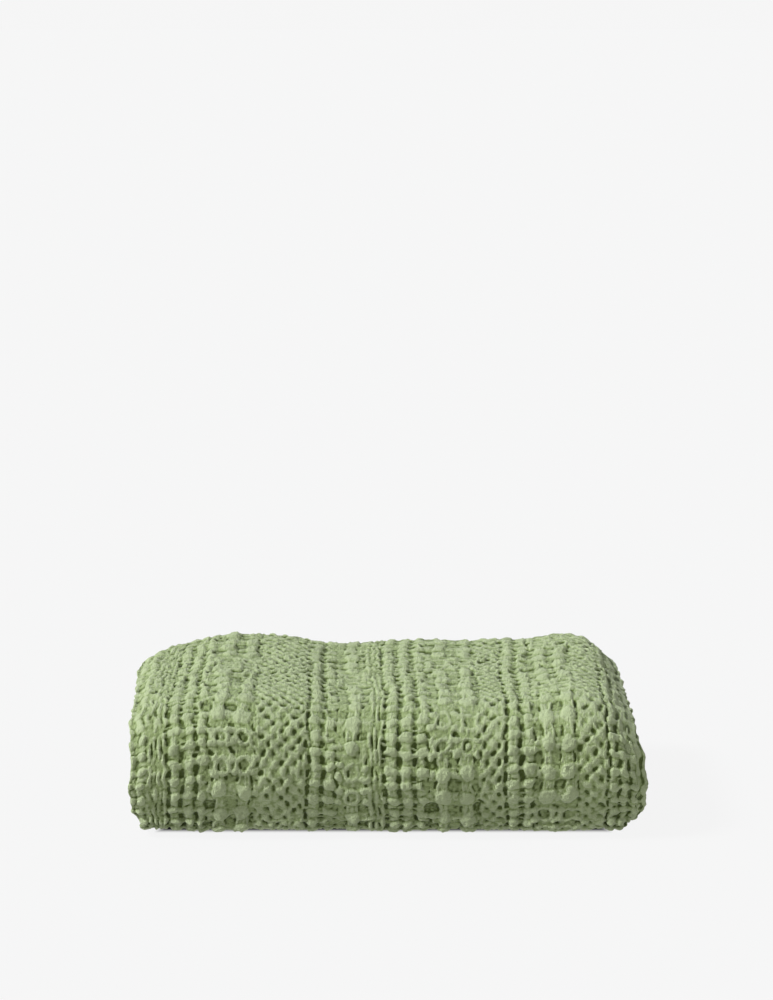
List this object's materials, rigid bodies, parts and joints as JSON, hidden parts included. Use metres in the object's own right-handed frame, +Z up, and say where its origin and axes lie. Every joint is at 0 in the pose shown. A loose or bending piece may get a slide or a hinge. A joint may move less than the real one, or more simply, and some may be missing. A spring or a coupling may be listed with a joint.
{
  "type": "folded throw blanket",
  "caption": "Soft woven cotton throw folded into a flat stack with one rounded front fold, its raised honeycomb weave puffed all over, lying on a surface.",
  "frame": {"origin": "centre of the underside, on the surface that the throw lies on", "axes": "+X along the long side of the stack, -Y toward the rounded front fold, +Z up through the plies"},
  "size_m": [0.447, 0.254, 0.1192],
  "materials": {
    "throw_cotton": "matte puffed cotton weave"
  },
  "bodies": {
    "root": {"folded_throw": "throw_cotton"}
  },
  "joints": []
}
